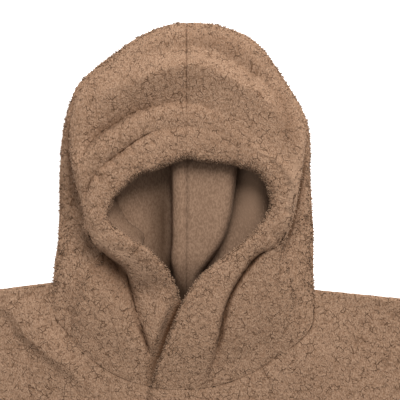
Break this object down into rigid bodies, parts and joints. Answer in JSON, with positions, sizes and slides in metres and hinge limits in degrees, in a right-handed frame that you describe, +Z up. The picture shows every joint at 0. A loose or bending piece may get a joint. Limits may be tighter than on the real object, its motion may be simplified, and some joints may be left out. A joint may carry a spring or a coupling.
{
  "type": "fleece poncho",
  "caption": "Hooded poncho of curly-pile fleece, laid flat on its back with the hood face up, its opening's turned edges crossing at the neck.",
  "frame": {"origin": "centre of the bounding box in plan, on the surface that the garment lies on", "axes": "+Z up from that surface, +Y along the centre-back seam towards the crown of the hood, +X towards the picture's right"},
  "size_m": [0.9974, 1.039, 0.0535],
  "materials": {
    "back_fleece": "curly pile fleece",
    "front_fleece": "curly pile fleece",
    "hood_left_fleece": "curly pile fleece, brushed inside",
    "hood_right_fleece": "curly pile fleece, brushed inside"
  },
  "bodies": {
    "root": {"back": "back_fleece", "front": "front_fleece", "hood_left": "hood_left_fleece", "hood_right": "hood_right_fleece"}
  },
  "joints": []
}
